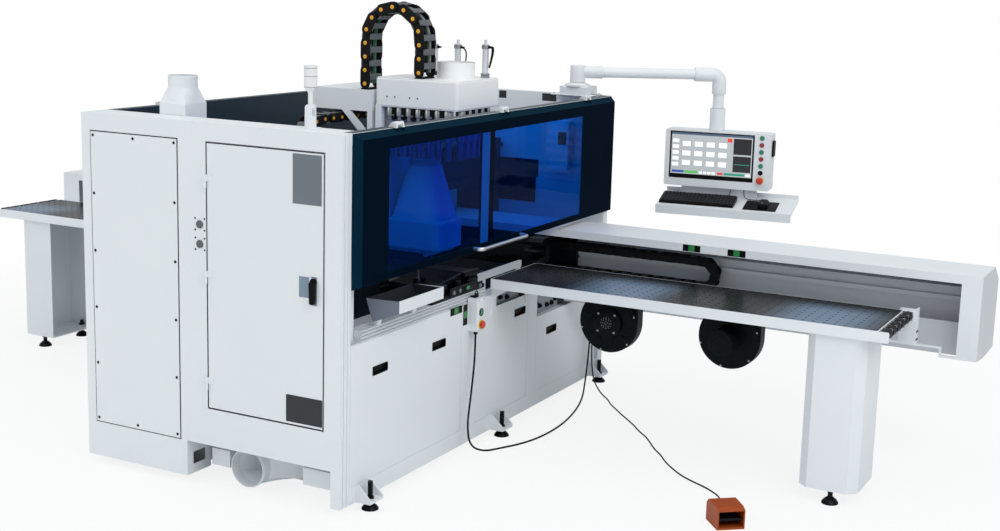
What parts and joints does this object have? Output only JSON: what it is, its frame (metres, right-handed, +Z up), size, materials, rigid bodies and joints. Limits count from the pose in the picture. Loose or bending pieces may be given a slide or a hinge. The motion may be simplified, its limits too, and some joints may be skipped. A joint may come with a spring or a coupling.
{
  "type": "six sided drilling machine",
  "caption": "Free-standing panel drilling machine: sheet-metal enclosure with lifting window, through clamp beam, infeed and outfeed air tables, drilling heads and swinging control pendant.",
  "frame": {"origin": "middle of the machine's bounding box on the floor, measured without the loose cords", "axes": "+Z up; +X along the clamp beam and out over the infeed table; -Y towards the electrical cabinet side"},
  "size_m": [6.098, 3.3678, 2.287],
  "materials": {
    "cool_white_paint": "satin powder coat",
    "inner_paint": "satin powder coat, slate blue inside",
    "navy_paint": "gloss powder coat",
    "blue_pane": "tinted polycarbonate",
    "bright_chrome": "polished",
    "machined_steel": "ground",
    "grey_paint": "satin",
    "aluminium_profile": "anodised",
    "black_deck": "gloss laminate",
    "black_plastic": "moulded",
    "black_paint": "satin",
    "black_steel": "blackened",
    "lamp": "translucent lamp",
    "screen": "display glass",
    "green_plastic": "moulded",
    "red_plastic": "moulded",
    "orange_paint": "enamel",
    "keyboard_black": "moulded",
    "cord_black": "cable sheath"
  },
  "bodies": {
    "machine": {"base_frame": "cool_white_paint", "front_panels": "cool_white_paint", "levelling_feet": "black_steel", "cabinet_shell": "cool_white_paint", "electrical_gear": "grey_paint", "enclosure_walls": "inner_paint", "dust_ports": "cool_white_paint", "bridge_beam": "cool_white_paint", "sill_rail": "aluminium_profile", "chute_tray": "grey_paint", "table_frames": "cool_white_paint", "table_decks": "black_deck", "table_legs": "cool_white_paint", "beam_cover": "cool_white_paint", "clamp_spine": "grey_paint", "blower_housings": "black_paint", "pendant_base": "cool_white_paint", "hand_box": "cool_white_paint", "pedal_guard": "orange_paint", "hand_box_cord": "cord_black", "pedal_cord": "cord_black", "cord_fittings": "black_plastic", "y_chain": "black_plastic", "x_chain": "black_plastic"},
    "window_door": {"window_frame": "navy_paint", "window_glass": "blue_pane", "window_handle": "bright_chrome"},
    "cabinet_leaf": {"cabinet_door": "cool_white_paint"},
    "lock_lever": {"cabinet_lock": "black_plastic"},
    "tower_mast": {"signal_tower": "lamp"},
    "upper_saddle": {"saddle": "cool_white_paint", "z_chain": "black_plastic"},
    "upper_head": {"drill_head": "machined_steel", "head_cover": "cool_white_paint"},
    "upper_tool": {"upper_bit": "machined_steel"},
    "lower_carriage": {"lower_saddle": "cool_white_paint"},
    "lower_unit": {"lower_head": "machined_steel"},
    "lower_tool": {"lower_bit": "machined_steel"},
    "clamp_1": {"clamp_carriage_1": "black_steel"},
    "jaw_1": {"clamp_jaw_1": "black_steel"},
    "clamp_2": {"clamp_carriage_2": "black_steel"},
    "jaw_2": {"clamp_jaw_2": "black_steel"},
    "stop_slider": {"side_stop": "grey_paint"},
    "swing_arm": {"pendant_arm": "cool_white_paint"},
    "control_panel": {"control_case": "cool_white_paint", "control_screen": "screen", "keyboard_and_mouse": "keyboard_black", "desk_leads": "cord_black"},
    "button_1": {"push_button_1": "green_plastic"},
    "button_2": {"push_button_2": "red_plastic"},
    "button_3": {"push_button_3": "green_plastic"},
    "button_4": {"push_button_4": "red_plastic"},
    "button_5": {"push_button_5": "green_plastic"},
    "key": {"key_switch": "black_plastic"},
    "stop_button": {"emergency_stop": "red_plastic"},
    "hand_start_button": {"hand_start": "green_plastic"},
    "hand_stop_button": {"hand_stop": "red_plastic"},
    "foot_treadle": {"treadle": "black_plastic"},
    "rollers": {"end_rollers": "black_plastic"},
    "rear_rollers": {"outfeed_rollers": "black_plastic"}
  },
  "joints": [
    {"name": "window_lift", "type": "hinge", "parent": "machine", "child": "window_door", "pos_m": [0.713, -0.19195, 1.755], "axis": [0, -1, 0], "range_deg": [0, 75]},
    {"name": "cabinet_door_swing", "type": "hinge", "parent": "machine", "child": "cabinet_leaf", "pos_m": [-0.04047, -1.66895, 1.025], "axis": [0, 0, -1], "range_deg": [0, 95]},
    {"name": "lock_turn", "type": "hinge", "parent": "cabinet_leaf", "child": "lock_lever", "pos_m": [0.562, -1.66195, 1.076], "axis": [0, 1, 0], "range_deg": [0, 90]},
    {"name": "tower_fold", "type": "hinge", "parent": "machine", "child": "tower_mast", "pos_m": [0.476, -1.57195, 1.835], "axis": [0, -1, 0], "range_deg": [0, 90]},
    {"name": "upper_saddle_y", "type": "slide", "parent": "machine", "child": "upper_saddle", "axis": [0, 1, 0], "range_m": [-0.75, 0.15], "deforming": ["y_chain"]},
    {"name": "upper_head_z", "type": "slide", "parent": "upper_saddle", "child": "upper_head", "axis": [0, 0, 1], "range_m": [-0.045, 0.06], "deforming": ["z_chain"]},
    {"name": "upper_spindle", "type": "hinge", "parent": "upper_head", "child": "upper_tool", "pos_m": [0.286, -0.17395, 0.96], "axis": [0, 0, 1], "continuous": true},
    {"name": "lower_carriage_y", "type": "slide", "parent": "machine", "child": "lower_carriage", "axis": [0, 1, 0], "range_m": [-0.75, 0.15]},
    {"name": "lower_unit_z", "type": "slide", "parent": "lower_carriage", "child": "lower_unit", "axis": [0, 0, 1], "range_m": [-0.06, 0.02]},
    {"name": "lower_spindle", "type": "hinge", "parent": "lower_unit", "child": "lower_tool", "pos_m": [0.206, -0.17395, 0.78], "axis": [0, 0, 1], "continuous": true},
    {"name": "clamp_1_x", "type": "slide", "parent": "machine", "child": "clamp_1", "axis": [1, 0, 0], "range_m": [-0.25, 1.35], "deforming": ["x_chain"]},
    {"name": "jaw_1_press", "type": "slide", "parent": "clamp_1", "child": "jaw_1", "axis": [0, 0, 1], "range_m": [-0.024, 0]},
    {"name": "clamp_2_x", "type": "slide", "parent": "machine", "child": "clamp_2", "axis": [1, 0, 0], "range_m": [-1.8, 0.9]},
    {"name": "jaw_2_press", "type": "slide", "parent": "clamp_2", "child": "jaw_2", "axis": [0, 0, 1], "range_m": [-0.024, 0]},
    {"name": "side_stop_y", "type": "slide", "parent": "machine", "child": "stop_slider", "axis": [0, 1, 0], "range_m": [-0.11, 0]},
    {"name": "pendant_swing", "type": "hinge", "parent": "machine", "child": "swing_arm", "pos_m": [0.533, 1.09205, 1.85], "axis": [0, 0, 1], "range_deg": [-5, 55]},
    {"name": "panel_turn", "type": "hinge", "parent": "swing_arm", "child": "control_panel", "pos_m": [1.25759, 1.56081, 1.64], "axis": [0, 0, 1], "range_deg": [-40, 40]},
    {"name": "press_1", "type": "slide", "parent": "control_panel", "child": "button_1", "axis": [-0.1392, 0.9903, 0], "range_m": [0, 0.004], "stiffness_N_per_m": 600, "springref_m": -0.002},
    {"name": "press_2", "type": "slide", "parent": "control_panel", "child": "button_2", "axis": [-0.1392, 0.9903, 0], "range_m": [0, 0.004], "stiffness_N_per_m": 600, "springref_m": -0.002},
    {"name": "press_3", "type": "slide", "parent": "control_panel", "child": "button_3", "axis": [-0.1392, 0.9903, 0], "range_m": [0, 0.004], "stiffness_N_per_m": 600, "springref_m": -0.002},
    {"name": "press_4", "type": "slide", "parent": "control_panel", "child": "button_4", "axis": [-0.1392, 0.9903, 0], "range_m": [0, 0.004], "stiffness_N_per_m": 600, "springref_m": -0.002},
    {"name": "press_5", "type": "slide", "parent": "control_panel", "child": "button_5", "axis": [-0.1392, 0.9903, 0], "range_m": [0, 0.004], "stiffness_N_per_m": 600, "springref_m": -0.002},
    {"name": "key_turn", "type": "hinge", "parent": "control_panel", "child": "key", "pos_m": [1.55451, 1.53185, 1.311], "axis": [-0.1392, 0.9903, 0], "range_deg": [0, 90]},
    {"name": "stop_press", "type": "slide", "parent": "control_panel", "child": "stop_button", "axis": [-0.1392, 0.9903, 0], "range_m": [0, 0.004], "stiffness_N_per_m": 800, "springref_m": -0.002},
    {"name": "hand_start_press", "type": "slide", "parent": "machine", "child": "hand_start_button", "axis": [-1, 0, 0], "range_m": [0, 0.004], "stiffness_N_per_m": 600, "springref_m": -0.002},
    {"name": "hand_stop_press", "type": "slide", "parent": "machine", "child": "hand_stop_button", "axis": [-1, 0, 0], "range_m": [0, 0.004], "stiffness_N_per_m": 600, "springref_m": -0.002},
    {"name": "treadle_press", "type": "hinge", "parent": "machine", "child": "foot_treadle", "pos_m": [2.18843, -0.74371, 0.03], "axis": [0.766, 0.6428, 0], "range_deg": [0, 10], "stiffness_Nm_per_rad": 12, "springref_deg": -8.59},
    {"name": "roller_spin", "type": "hinge", "parent": "machine", "child": "rollers", "pos_m": [2.759, -0.04595, 0.856], "axis": [0, 1, 0], "continuous": true},
    {"name": "outfeed_roller_spin", "type": "hinge", "parent": "machine", "child": "rear_rollers", "pos_m": [-2.916, 0.04205, 0.856], "axis": [0, 1, 0], "continuous": true}
  ]
}
